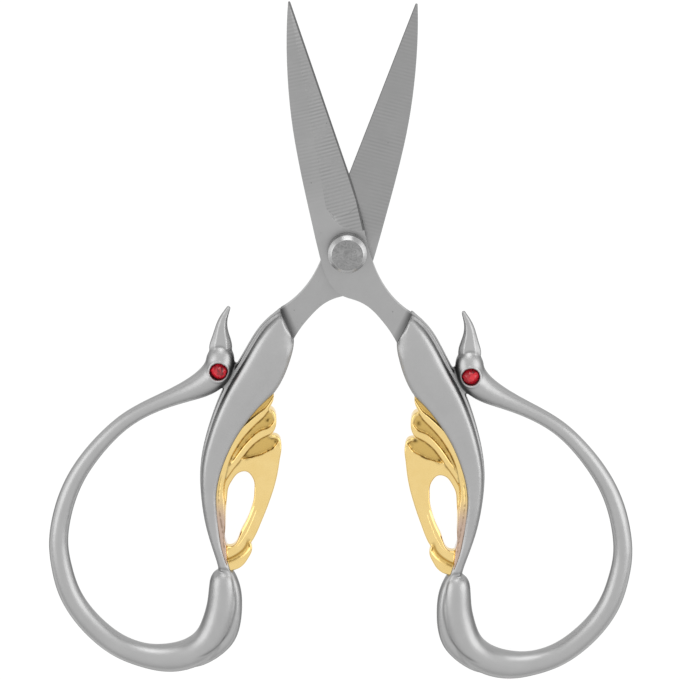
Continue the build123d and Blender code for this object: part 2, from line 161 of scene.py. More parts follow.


# Gilt over polished brass: sharp bright reflections on the rims, while the hollows, where the
# polishing wheel doesn't reach, keep the dull grain of the mould and are coloured darker as painted
# shade.
def makePolishedGilt():
    look = {
        "colour": "#F2D797", "worn": "#E7C77F", "wornSize": 2.5, "hollowDullAndShade": "#D0B068",
        "crease": "#5E4412", "bare": "#C4AC9C", "roughness": (0.12, 0.20), "hollowRoughness": 0.42,
        "wave": 1.1, "waveDepth": 0.02, "grain": 0.14, "grainDepth": 0.03,
        "spot": 0.9, "spotRange": (0.38, 0.60),
    }
    material, tree = newMaterial("polishedGiltBrass")
    coords = addNode(tree, "ShaderNodeTexCoord")
    place = coords.outputs["Object"]
    hollowDullAndShade = addNode(tree, "ShaderNodeAttribute", {"attribute_name": "hollowDullAndShadeShare"})
    crease = addNode(tree, "ShaderNodeAttribute", {"attribute_name": "creaseShare"})
    cloud = addNode(
        tree, "ShaderNodeTexNoise",
        {"Scale": perMetre(look["wornSize"]), "Detail": 5.0, "Roughness": 0.65},
        {"Vector": place},
    )
    colour = addNode(
        tree, "ShaderNodeMix",
        {"data_type": "RGBA", 6: linear(look["worn"]), 7: linear(look["colour"])},
        {0: cloud.outputs[0]},
    )
    # painted shade: the hollows are coloured darker, beside their real duller grain
    colour = addNode(
        tree, "ShaderNodeMix", {"data_type": "RGBA", 7: linear(look["hollowDullAndShade"])},
        {0: hollowDullAndShade.outputs["Fac"], 6: colour.outputs[2]},
    )
    bare = addNode(tree, "ShaderNodeAttribute", {"attribute_name": "bareShare"})
    colour = addNode(  # the gilt is rubbed through to a pinkish grey
        tree, "ShaderNodeMix", {"data_type": "RGBA", 7: linear(look["bare"])},
        {0: bare.outputs["Fac"], 6: colour.outputs[2]},
    )
    spots = addNode(  # black spots along the creases
        tree, "ShaderNodeTexNoise",
        {"Scale": perMetre(look["spot"]), "Detail": 2.0}, {"Vector": place},
    )
    spots = addNode(
        tree, "ShaderNodeMapRange",
        {"From Min": look["spotRange"][0], "From Max": look["spotRange"][1]},
        {"Value": spots.outputs[0]},
    )
    creaseDark = addNode(
        tree, "ShaderNodeMath", {"operation": "MULTIPLY"},
        {0: crease.outputs["Fac"], 1: spots.outputs[0]},
    )
    colour = addNode(
        tree, "ShaderNodeMix", {"data_type": "RGBA", 7: linear(look["crease"])},
        {0: creaseDark.outputs[0], 6: colour.outputs[2]},
    )
    gloss = addNode(
        tree, "ShaderNodeMapRange",
        {"To Min": look["roughness"][1], "To Max": look["roughness"][0]},
        {"Value": cloud.outputs[0]},
    )
    gloss = addNode(
        tree, "ShaderNodeMix", {"data_type": "FLOAT", 3: look["hollowRoughness"]},
        {0: hollowDullAndShade.outputs["Fac"], 2: gloss.outputs[0]},
    )
    wave = addNode(
        tree, "ShaderNodeTexNoise",
        {"Scale": perMetre(look["wave"]), "Detail": 2.0}, {"Vector": place},
    )
    broad = addNode(
        tree, "ShaderNodeBump",
        {"Strength": 0.6, "Distance": look["waveDepth"] * mm}, {"Height": wave.outputs[0]},
    )
    grain = addNode(
        tree, "ShaderNodeTexNoise",
        {"Scale": perMetre(look["grain"]), "Detail": 2.0}, {"Vector": place},
    )
    fine = addNode(
        tree, "ShaderNodeBump", {"Distance": look["grainDepth"] * mm},
        {"Strength": hollowDullAndShade.outputs["Fac"], "Height": grain.outputs[0], "Normal": broad.outputs[0]},
    )
    shader = addNode(
        tree, "ShaderNodeBsdfPrincipled", {"Metallic": 1.0},
        {"Base Color": colour.outputs[2], "Roughness": gloss.outputs[0], "Normal": fine.outputs[0]},
    )
    addNode(tree, "ShaderNodeOutputMaterial", links={"Surface": shader.outputs[0]})
    return material


# Stainless steel sheet, ground across the blade on a coarse wheel: faint chatter lines 0.65 mm
# apart where the face was ground, and a plain satin elsewhere. The ground faces, and the marked
# flats, are set darker by groundShadeLevel, which is painted shade, and their marks fade in over
# marksFrom, in mm of Y.
def makeGroundSteel(name, half, markDepth, marksFrom):
    look = {
        "plain": "#A6A6A6", "roughness": 0.40, "chatter": 0.65, "scratch": 0.10,
        "streak": 0.05, "cloudSize": 4.0, "bite": (0.36, 0.62), "biteShare": 0.8,
        "chatterDepth": 0.004, "groundShadeLevel": 0.80, "stain": 7.0, "stainLevel": (0.90, 1.10),
        "speckSize": 2.4, "speckReach": (0.05, 0.02), "speckShare": 0.8, "speck": "#4C4C4C",
        "edge": "#4E4E4E",
        "grime": "#2C2C2C", "grimeReach": (0.25, 1.25), "grimeShare": 0.78, "grimeLeft": 0.45,
    }
    bandsPerTurn = 20  # the wave texture draws so many bands in a length of tau
    material, tree = newMaterial(name)
    coords = addNode(tree, "ShaderNodeTexCoord")
    along = addNode(
        tree, "ShaderNodeMapping", {"Rotation": (0, 0, math.radians(-half["angle"]))},
        {"Vector": coords.outputs["Object"]},
    )
    parts = addNode(tree, "ShaderNodeSeparateXYZ", links={0: along.outputs[0]})
    ground = addNode(tree, "ShaderNodeAttribute", {"attribute_name": "groundShare"})
    flat = addNode(tree, "ShaderNodeAttribute", {"attribute_name": "flatShare"})
    flat = addNode(  # the marks on the flat fade out towards the rivet
        tree, "ShaderNodeMapRange",
        {"interpolation_type": "SMOOTHSTEP", "From Min": marksFrom[0] * mm,
         "From Max": marksFrom[1] * mm},
        {"Value": parts.outputs["Y"], "To Max": flat.outputs["Fac"]},
    )
    ground = addNode(
        tree, "ShaderNodeMath", {"operation": "MAXIMUM"},
        {0: ground.outputs["Fac"], 1: flat.outputs[0]},
    )
    streaks = addNode(
        tree, "ShaderNodeMapping", {"Scale": (look["streak"], 1.0, 1.0)},
        {"Vector": along.outputs[0]},
    )
    chatter = addNode(
        tree, "ShaderNodeTexWave",
        {
            "wave_type": "BANDS", "bands_direction": "Y",
            "Scale": perMetre(look["chatter"]) * math.tau / bandsPerTurn,
            "Distortion": 2.2, "Detail": 2.0, "Detail Scale": 0.35,
        },
        {"Vector": streaks.outputs[0]},
    )
    cloud = addNode(  # the wheel bites in places only
        tree, "ShaderNodeTexNoise", {"Scale": perMetre(look["cloudSize"]), "Detail": 2.0},
        {"Vector": along.outputs[0]},
    )
    bite = addNode(
        tree, "ShaderNodeMapRange",
        {"From Min": look["bite"][0], "From Max": look["bite"][1], "To Max": look["biteShare"]},
        {"Value": cloud.outputs[0]},
    )
    scratch = addNode(
        tree, "ShaderNodeTexNoise",
        {"Scale": perMetre(look["scratch"]), "Detail": 3.0}, {"Vector": streaks.outputs[0]},
    )
    marks = addNode(
        tree, "ShaderNodeMix", {"data_type": "FLOAT"},
        {0: bite.outputs[0], 2: scratch.outputs[0], 3: chatter.outputs["Fac"]},
    )
    # painted shade: the ground faces and the marked flats are set to the darker groundShadeLevel
    marked = addNode(
        tree, "ShaderNodeMapRange",
        {"To Min": look["groundShadeLevel"] - markDepth, "To Max": look["groundShadeLevel"] + markDepth},
        {"Value": marks.outputs[0]},
    )
    marked = addNode(
        tree, "ShaderNodeMix", {"data_type": "FLOAT", 2: 1.0},
        {0: ground.outputs[0], 3: marked.outputs[0]},
    )
    stain = addNode(
        tree, "ShaderNodeTexNoise",
        {"Scale": perMetre(look["stain"]), "Detail": 6.0, "Roughness": 0.75},
        {"Vector": coords.outputs["Object"]},
    )
    stain = addNode(
        tree, "ShaderNodeMapRange",
        {"To Min": look["stainLevel"][0], "To Max": look["stainLevel"][1]},
        {"Value": stain.outputs[0]},
    )
    level = addNode(
        tree, "ShaderNodeMath", {"operation": "MULTIPLY"},
        {0: marked.outputs[0], 1: stain.outputs[0]},
    )
    colour = addNode(
        tree, "ShaderNodeVectorMath", {"operation": "SCALE", 0: linear(look["plain"])[:3]},
        {"Scale": level.outputs[0]},
    )
    speck = addNode(  # a few inclusions, a tenth of a millimetre or two across
        tree, "ShaderNodeTexVoronoi", {"Scale": perMetre(look["speckSize"])},
        {"Vector": coords.outputs["Object"]},
    )
    speck = addNode(
        tree, "ShaderNodeMapRange",
        {"From Min": look["speckReach"][0], "From Max": look["speckReach"][1],
         "To Max": look["speckShare"]},
        {"Value": speck.outputs["Distance"]},
    )
    colour = addNode(
        tree, "ShaderNodeMix", {"data_type": "RGBA", 7: linear(look["speck"])},
        {0: speck.outputs[0], 6: colour.outputs[0]},
    )
    # painted shadow along the cutting edge and painted shade on the grind's end wall
    edge = addNode(tree, "ShaderNodeAttribute", {"attribute_name": "edgeShadeShare"})
    colour = addNode(
        tree, "ShaderNodeMix", {"data_type": "RGBA", 7: linear(look["edge"])},
        {0: edge.outputs["Fac"], 6: colour.outputs[2]},
    )
    # painted shadow: darkest at the mouth's outer end, fading along it and away from the casting
    outer, inner = (half["matrix"] @ spot(pair) for pair in mouth)
    line = (inner - outer).normalized()
    outward = (half["matrix"].to_3x3() @ Vector((0, 0, 1))).cross(line)
    reach = addNode(
        tree, "ShaderNodeVectorMath", {"operation": "SUBTRACT", 1: outer},
        {0: coords.outputs["Object"]},
    )
    shares = []
    for direction, span, low in (
        (outward, look["grimeReach"], 0.0),
        (line, (0, (inner - outer).length / mm), look["grimeLeft"]),
    ):
        far = addNode(
            tree, "ShaderNodeVectorMath", {"operation": "DOT_PRODUCT", 1: direction},
            {0: reach.outputs[0]},
        )
        shares.append(addNode(
            tree, "ShaderNodeMapRange",
            {"From Min": span[0] * mm, "From Max": span[1] * mm, "To Min": 1.0, "To Max": low},
            {"Value": far.outputs["Value"]},
        ).outputs[0])
    grime = addNode(tree, "ShaderNodeMath", {"operation": "MULTIPLY"}, {0: shares[0], 1: shares[1]})
    grime = addNode(
        tree, "ShaderNodeMath", {"operation": "MULTIPLY", 1: look["grimeShare"]},
        {0: grime.outputs[0]},
    )
    colour = addNode(  # painted shadow of the casting's lip on the shank, where the shank leaves the casting
        tree, "ShaderNodeMix", {"data_type": "RGBA", 7: linear(look["grime"])},
        {0: grime.outputs[0], 6: colour.outputs[2]},
    )
    depth = addNode(
        tree, "ShaderNodeMath", {"operation": "MULTIPLY"},
        {0: ground.outputs[0], 1: marks.outputs[0]},
    )
    bump = addNode(
        tree, "ShaderNodeBump",
        {"Strength": 0.7, "Distance": look["chatterDepth"] * mm}, {"Height": depth.outputs[0]},
    )
    shader = addNode(
        tree, "ShaderNodeBsdfPrincipled", {"Metallic": 1.0, "Roughness": look["roughness"]},
        {"Base Color": colour.outputs[2], "Normal": bump.outputs[0]},
    )
    addNode(tree, "ShaderNodeOutputMaterial", links={"Surface": shader.outputs[0]})
    return material


# Turned steel, tumbled after the lathe: a few crossing polish strokes on the flat.
def makeTurnedSteel():
    look = {
        "dark": "#828282", "light": "#9E9E9E", "stroke": 1.1, "strokeDepth": 0.006,
        "strokeRange": (0.35, 0.65), "roughness": 0.32, "spread": 0.85, "rim": "#B8B8B8",
    }
    material, tree = newMaterial("turnedRivetSteel")
    coords = addNode(tree, "ShaderNodeTexCoord")
    strokes = addNode(
        tree, "ShaderNodeTexNoise",
        {"Scale": perMetre(look["stroke"]), "Detail": 4.0, "Roughness": 0.6, "Distortion": 3.0},
        {"Vector": coords.outputs["Object"]},
    )
    shown = addNode(
        tree, "ShaderNodeMapRange",
        {"From Min": look["strokeRange"][0], "From Max": look["strokeRange"][1]},
        {"Value": strokes.outputs[0]},
    )
    colour = addNode(
        tree, "ShaderNodeMix",
        {"data_type": "RGBA", 6: linear(look["dark"]), 7: linear(look["light"])},
        {0: shown.outputs[0]},
    )
    rim = addNode(tree, "ShaderNodeAttribute", {"attribute_name": "rimShare"})
    colour = addNode(  # painted highlight: the chamfer is coloured brighter than the rest of the head
        tree, "ShaderNodeMix", {"data_type": "RGBA", 7: linear(look["rim"])},
        {0: rim.outputs["Fac"], 6: colour.outputs[2]},
    )
    bump = addNode(
        tree, "ShaderNodeBump",
        {"Strength": 0.6, "Distance": look["strokeDepth"] * mm}, {"Height": shown.outputs[0]},
    )
    turning = addNode(tree, "ShaderNodeTangent", {"direction_type": "RADIAL", "axis": "Z"})
    shader = addNode(  # the turning marks spread a highlight along the axis
        tree, "ShaderNodeBsdfPrincipled",
        {
            "Metallic": 1.0, "Roughness": look["roughness"],
            "Anisotropic": look["spread"], "Anisotropic Rotation": 0.25,
        },
        {"Base Color": colour.outputs[2], "Normal": bump.outputs[0], "Tangent": turning.outputs[0]},
    )
    addNode(tree, "ShaderNodeOutputMaterial", links={"Surface": shader.outputs[0]})
    return material


# Cut glass with a foil back: painted reflections, bright red facets beside nearly black ones.
def makeFoiledGlass():
    look = {"reflectingFacet": "#D4162A", "deep": "#5C0610", "facet": 0.7, "roughness": 0.08}
    material, tree = newMaterial("foilBackedRedGlass")
    coords = addNode(tree, "ShaderNodeTexCoord")
    cells = addNode(
        tree, "ShaderNodeTexVoronoi", {"Scale": perMetre(look["facet"])},
        {"Vector": coords.outputs["Object"]},
    )
    facetReflection = addNode(tree, "ShaderNodeSeparateColor", links={"Color": cells.outputs["Color"]})
    # painted reflection: each facet cell gets a red between deep and bright
    colour = addNode(
        tree, "ShaderNodeMix",
        {"data_type": "RGBA", 6: linear(look["deep"]), 7: linear(look["reflectingFacet"])},
        {0: facetReflection.outputs[0]},
    )
    shader = addNode(
        tree, "ShaderNodeBsdfPrincipled",
        {
            "Roughness": look["roughness"], "IOR": 1.52,
            "Coat Weight": 0.25, "Coat Roughness": 0.03,
        },
        {"Base Color": colour.outputs[2]},
    )
    addNode(tree, "ShaderNodeOutputMaterial", links={"Surface": shader.outputs[0]})
    return material


satinNickel = makeSatinNickel()
polishedGilt = makePolishedGilt()
turnedSteel = makeTurnedSteel()
redGlass = makeFoiledGlass()
print("materials made")


def newPiece(name, mesh, material, body, replaced, smooth=True):
    piece = bpy.data.objects.new(name, mesh)
    bpy.context.scene.collection.objects.link(piece)
    mesh.materials.clear()
    mesh.materials.append(material)
    mesh.polygons.foreach_set("material_index", [0] * len(mesh.polygons))
    mesh.polygons.foreach_set("use_smooth", [smooth] * len(mesh.polygons))
    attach(piece, body)
    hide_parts(replaced)
    return piece


def mergedCopy(nodeName):
    bm = bmesh.new()
    bm.from_mesh(nodes[nodeName].data)
    bmesh.ops.remove_doubles(bm, verts=bm.verts, dist=0.0005 * mm)
    return bm


# The modifiers' result as a plain mesh
def baked(mesh, modifiers):
    holder = bpy.data.objects.new("holder", mesh)
    bpy.context.scene.collection.objects.link(holder)
    for kind, settings in modifiers:
        modifier = holder.modifiers.new(kind, kind)
        for name, value in settings.items():
            setattr(modifier, name, value)
    graph = bpy.context.evaluated_depsgraph_get()
    result = bpy.data.meshes.new_from_object(holder.evaluated_get(graph))
    bpy.data.objects.remove(holder)
    return result


# A smooth line through a few points, for measuring distances to
def smoothLine(shares, perSpan=14):
    knots = np.array(shares, float) * handleReach
    knots = np.vstack([2 * knots[0] - knots[1], knots, 2 * knots[-1] - knots[-2]])
    line = []
    for a, b, c, d in zip(knots, knots[1:], knots[2:], knots[3:]):
        for step in range(perSpan):
            t = step / perSpan
            line.append(
                0.5 * (2 * b + (c - a) * t + (2 * a - 5 * b + 4 * c - d) * t * t
                       + (3 * b - a - 3 * c + d) * t ** 3)
            )
    line.append(knots[-2])
    return np.array(line)


# How far points lie from a line, in mm: positive on the body's side of it
def sideDistance(points, line):
    best = np.full(len(points), 1e9)
    signed = np.zeros(len(points))
    for start, end in zip(line, line[1:]):
        run = end - start
        share = np.clip(((points - start) @ run) / (run @ run), 0, 1)
        away = points - (start + share[:, None] * run)
        far = np.hypot(away[:, 0], away[:, 1])
        nearer = far < best
        best[nearer] = far[nearer]
        side = run[1] * away[:, 0] - run[0] * away[:, 1]
        signed[nearer] = np.where(side[nearer] >= 0, far[nearer], -far[nearer])
    return signed


def ease(values, low, high):
    t = np.clip((values - low) / (high - low), 0, 1)
    return t * t * (3 - 2 * t)


def hump(values, centre, width):
    return np.exp(-(((values - centre) / width) ** 2))


# A mesh's vertices as rows of a half's own frame, in mm
def placesIn(mesh, half):
    places = np.zeros(len(mesh.vertices) * 3)
    mesh.vertices.foreach_get("co", places)
    back = np.array(half["matrix"].inverted())
    return (places.reshape(-1, 3) @ back[:3, :3].T + back[:3, 3]) / mm


def putPlaces(mesh, half, places):
    out = np.array(half["matrix"])
    places = (places * mm) @ out[:3, :3].T + out[:3, 3]
    mesh.vertices.foreach_set("co", places.ravel())
    mesh.update()


def paint(mesh, name, shares):
    layer = mesh.attributes.new(name, "FLOAT", "POINT")
    layer.data.foreach_set("value", np.clip(shares, 0, 1))


# The castings: the solid with its socket filled, its edges softened as a mould leaves them, and the
# lines of the leaf, the head and the bulb cut in, with painted shade along them
casting = {
    "voxel": 0.19, "smoothing": 3, "plugDepth": 0.3, "plugGrowth": 1.03,
    "leaf": [  # the raised leaf's outline, from the waist round the mouth to the wing
        (-0.181, -0.470), (-0.178, -0.430), (-0.173, -0.390), (-0.166, -0.348),
        (-0.158, -0.312), (-0.149, -0.276), (-0.137, -0.236), (-0.124, -0.202),
        (-0.113, -0.182), (-0.105, -0.170), (-0.096, -0.170), (-0.086, -0.178),
        (-0.077, -0.190), (-0.069, -0.207), (-0.0645, -0.228), (-0.063, -0.250),
        (-0.064, -0.273), (-0.070, -0.300), (-0.076, -0.322),
    ],
    "innerSide": [
        (-0.070, -0.196), (-0.060, -0.210), (-0.056, -0.240), (-0.058, -0.279),
        (-0.067, -0.323), (-0.087, -0.367), (-0.111, -0.422), (-0.125, -0.478),
        (-0.130, -0.540), (-0.123, -0.594), (-0.100, -0.655), (-0.075, -0.701),
        (-0.055, -0.735),
    ],
    "crevice": [(-0.166, -0.280), (-0.170, -0.300), (-0.177, -0.325), (-0.186, -0.345)],
    "collar": [
        (-0.229, -0.292), (-0.224, -0.276), (-0.214, -0.266), (-0.203, -0.263),
        (-0.191, -0.267), (-0.182, -0.277), (-0.175, -0.292),
    ],
    "bulb": [
        (-0.096, -0.790), (-0.095, -0.764), (-0.091, -0.748), (-0.083, -0.738),
        (-0.072, -0.735), (-0.062, -0.738), (-0.053, -0.747), (-0.044, -0.763),
        (-0.035, -0.785), (-0.027, -0.812), (-0.025, -0.840), (-0.027, -0.872),
        (-0.035, -0.893), (-0.048, -0.915), (-0.066, -0.934), (-0.090, -0.950),
    ],
    "eye": (-0.1965, -0.3155),
    "spans": {  # where each relief grows in: "up" and "across" in mm, the rest in shares
        "up": (0.5, 0.9), "body": (-0.24, -0.22),
        "flatFrom": (0.205, 0.25), "flatTo": (0.60, 0.70),
        "leafY": (-0.50, -0.36), "leafX": (-0.100, -0.090),
        "archAcross": (0.02, 0.22), "archX": (-0.118, -0.102), "archY": (-0.222, -0.205),
        "creviceUp": (1.6, 2.4), "collarX": (-0.026, -0.020), "collarY": (-0.285, -0.270),
        "collarUp": (1.9, 2.3), "bulbY": (-0.115, -0.095), "bulbX": (-0.105, -0.095),
    },
    "flatten": 0.40, "flattenReach": 1.3,  # the inner side keeps its height up to the edge
    "groove": 0.048, "grooveReach": (0.95, 0.24), "shadeReach": (1.0, 0.13),
    "creviceReach": 0.85, "collarMiddle": 0.203, "collarAt": (0.05, 0.20),
    "bulbMiddle": 0.83, "bulbAt": (0.1, 0.20), "bulbGroove": 0.045,
    "cup": 0.14, "cupAt": (1.85, 0.22),
    # how dark the painted shade along each line is
    "shares": {"leaf": 0.42, "arch": 0.60, "collar": 0.35, "bulb": 0.45},
    # painted shade on the steep sides: the tilts over which it grows, and how much less of it where
    # a side faces the back lamp
    "sideTilt": ((0.30, 0.64), (0.06, 0.12)), "sideLit": 0.7, "sideLitFrom": (0.2, 0.7),
}


def makeHandle(nodeName, name, bladeName, half):
    bm = mergedCopy(nodeName)
    tang = mergedCopy(bladeName)  # fills the socket, so that no wall is too thin
    tang.transform(half["matrix"].inverted())
    low, high = (spot(pair) for pair in mouth)
    inward = (high - low).cross(Vector((0, 0, 1))).normalized()
    bmesh.ops.bisect_plane(
        tang, geom=tang.verts[:] + tang.edges[:] + tang.faces[:], clear_inner=True,
        plane_co=(low + high) / 2 + inward * casting["plugDepth"] * mm, plane_no=inward,
    )
    bmesh.ops.holes_fill(tang, edges=[e for e in tang.edges if e.is_boundary])
    for vert in tang.verts:  # a hair thicker, so that it closes the gap
        vert.co.z *= casting["plugGrowth"]
    tang.transform(half["matrix"])
    plug = bpy.data.meshes.new("plug")
    tang.to_mesh(plug)
    tang.free()
    bm.from_mesh(plug)
    bpy.data.meshes.remove(plug)
    mesh = bpy.data.meshes.new(name)
    bm.to_mesh(mesh)
    bm.free()
    mesh = baked(mesh, [
        ("REMESH", {"mode": "VOXEL", "voxel_size": casting["voxel"] * mm}),
        ("SMOOTH", {"factor": 0.5, "iterations": casting["smoothing"]}),
    ])
    places = placesIn(mesh, half)
    flat = places[:, :2]
    x, y, up = flat[:, 0] / handleReach, flat[:, 1] / handleReach, np.abs(places[:, 2])
    spans = casting["spans"]
    top = ease(up, *spans["up"])
    near = ease(x, *spans["body"])  # the body's own side of the loop

    toInner = np.abs(sideDistance(flat, smoothLine(casting["innerSide"])))
    flatter = hump(toInner, 0, casting["flattenReach"]) * near * ease(-y, *spans["flatFrom"])
    flatter *= 1 - ease(-y, *spans["flatTo"])
    places[:, 2] *= 1 + casting["flatten"] * flatter

    toLeaf = sideDistance(flat, smoothLine(casting["leaf"]))
    fade = ease(y, *spans["leafY"]) * near * top * (1 - ease(x, *spans["leafX"]))
    groove = hump(toLeaf, 0, np.where(toLeaf < 0, *casting["grooveReach"])) * fade
    places[:, 2] *= 1 - casting["groove"] * groove
    leaf = hump(toLeaf, 0, np.where(toLeaf < 0, *casting["shadeReach"])) * fade
    arch = ease(-toLeaf, *spans["archAcross"]) * near * top
    arch *= ease(x, *spans["archX"]) * ease(y, *spans["archY"])

    toCrevice = sideDistance(flat, smoothLine(casting["crevice"]))
    crevice = hump(toCrevice, 0, casting["creviceReach"]) * (1 - ease(up, *spans["creviceUp"]))
    toCollar = sideDistance(flat, smoothLine(casting["collar"]))
    collar = hump(toCollar, *casting["collarAt"]) * (1 - ease(up, *spans["collarUp"]))
    collar *= ease(-np.abs(x + casting["collarMiddle"]), *spans["collarX"])
    collar *= ease(y, *spans["collarY"])
    toBulb = sideDistance(flat, smoothLine(casting["bulb"]))
    bulb = hump(toBulb, *casting["bulbAt"]) * ease(x, *spans["bulbX"])
    bulb *= ease(-np.abs(y + casting["bulbMiddle"]), *spans["bulbY"])
    places[:, 2] *= 1 - casting["bulbGroove"] * bulb
    eye = np.hypot(*(flat - np.array(casting["eye"]) * handleReach).T)
    cup = casting["cup"] * hump(eye, *casting["cupAt"])
    places[:, 2] += np.sign(places[:, 2]) * top * cup
    putPlaces(mesh, half, places)
    # painted shade along the leaf, the mouth's arch, the collar, the bulb and the crevice
    dark = {"leaf": leaf, "arch": arch, "collar": collar, "bulb": bulb}
    recessShade = [share * dark[part] for part, share in casting["shares"].items()]
    paint(mesh, "recessShadeShare", np.maximum.reduce(recessShade + [crevice]))

    normals = np.zeros(len(mesh.vertices) * 3)
    mesh.vertices.foreach_get("normal", normals)
    (low, high), (lowMore, highMore) = casting["sideTilt"]
    sideShade = 1 - ease(np.abs(normals[2::3]), low + lowMore * near, high + highMore * near)
    sideShade *= 1 - casting["sideLit"] * ease(normals[1::3], *casting["sideLitFrom"])
    paint(mesh, "sideShadeShare", sideShade)  # painted shade on the steep sides, lighter where they face the back lamp
    mesh.name = name
    newPiece(name, mesh, satinNickel, half["body"], nodeName)
    print(name, len(mesh.polygons), "faces")


makeHandle("handle_left", "handleLeft", "blade_rear", halves["rear"])
makeHandle("handle_right", "handleRight", "blade_front", halves["front"])


# The blades: a fine bevel along each edge, a soft run-out of the grind, a strip of painted shadow
# along the cutting edge and painted shade on the grind's end wall. Sizes in mm, in the half's own
# frame, and tilts in degrees.
blade = {
    "bevel": 0.07, "flatAngle": 0.6, "sharpAngle": 20, "flatTilt": 3.0, "wallTilt": 30,
    "farFace": 1.63, "runOut": 3.4, "runOutDepth": (0.02, 1.4), "runOutAlong": (3.0, 14.0),
    "wallAcross": 2.6, "wallShade": 0.45, "wallZ": 0.1, "wallY": 0.05,
    "edgeFrom": 3.5, "edgeShade": 0.75,
    "alongEdge": (0, 9.3, 14.6, 46.5), "acrossEdge": (-3.95, -3.85, -3.4, -0.22),
    "flatShare": {"front": 0.60, "rear": 1.0}, "edgeShadeStrip": {"front": 0.30, "rear": 0.10},
    "markDepth": {"front": 0.12, "rear": 0.06}, "marksFrom": {"front": (6, 16), "rear": (1, 7)},
}


def edgeAt(y):  # the cutting edge's x
    return np.interp(y, blade["alongEdge"], blade["acrossEdge"])


def makeBlade(nodeName, name, side):
    half, edgeShadeStrip = halves[side], blade["edgeShadeStrip"][side]
    material = makeGroundSteel(
        "groundSteel" + side.title(), half, blade["markDepth"][side], blade["marksFrom"][side]
    )
    low, high = blade["runOutAlong"]
    shallow, deep = blade["runOutDepth"]
    bm = mergedCopy(nodeName)
    bm.transform(half["matrix"].inverted())
    bmesh.ops.dissolve_limit(
        bm, angle_limit=math.radians(blade["flatAngle"]), verts=bm.verts, edges=bm.edges
    )
    for vert in bm.verts:  # the grind's end wall leans, as a wheel leaves it
        depth = blade["farFace"] + vert.co.z / mm
        walls = [
            face for face in vert.link_faces
            if abs(face.normal.z) < blade["wallZ"] and face.normal.y > blade["wallY"]
            and face.calc_center_median().y < high * mm
        ]
        if walls and shallow < depth < deep and vert.co.y > low * mm:
            vert.co.y += blade["runOut"] * depth * mm
            vert.co.x = max(vert.co.x, edgeAt(vert.co.y / mm) * mm)
    sharp = [
        edge for edge in bm.edges
        if edge.is_manifold and edge.calc_face_angle() > math.radians(blade["sharpAngle"])
    ]
    bmesh.ops.bevel(
        bm, geom=sharp, offset=blade["bevel"] * mm, affect="EDGES", segments=2,
        profile=0.5, material=-1, clamp_overlap=True,
    )
    corners = [Vector(pair) for pair in zip(blade["acrossEdge"], blade["alongEdge"])]
    for start, end in zip(corners, corners[1:]):  # a cut along the painted edge-shadow strip
        inward = Vector((end.y - start.y, start.x - end.x, 0)).normalized()
        bmesh.ops.bisect_plane(
            bm, geom=bm.verts[:] + bm.edges[:] + bm.faces[:], plane_no=inward,
            plane_co=(start.to_3d() + inward * edgeShadeStrip) * mm,
        )
    ground, flat, edge = (
        bm.faces.layers.float.new(layer) for layer in ("groundShare", "flatShare", "edgeShadeShare")
    )
    for face in bm.faces:
        centre = face.calc_center_median() / mm
        tilt = math.degrees(math.acos(min(1, abs(face.normal.z))))
        if blade["flatTilt"] < tilt < blade["wallTilt"]:
            face[ground] = 1.0
        elif tilt <= blade["flatTilt"]:
            face[flat] = blade["flatShare"][side]
        # painted shade on the grind's end wall
        onWall = low < centre.y < high and abs(centre.x) < blade["wallAcross"]
        if onWall and tilt > blade["wallTilt"]:
            face[edge] = blade["wallShade"]
        # painted shadow along the cutting edge
        if centre.y > blade["edgeFrom"] and centre.x < edgeAt(centre.y) + edgeShadeStrip:
            face[edge] = blade["edgeShade"]
    bm.transform(half["matrix"])
    mesh = bpy.data.meshes.new(name)
    bm.to_mesh(mesh)
    bm.free()
    newPiece(name, mesh, material, half["body"], nodeName, smooth=False)
    print(name, len(mesh.polygons), "faces")


makeBlade("blade_front", "bladeFront", "front")
makeBlade("blade_rear", "bladeRear", "rear")


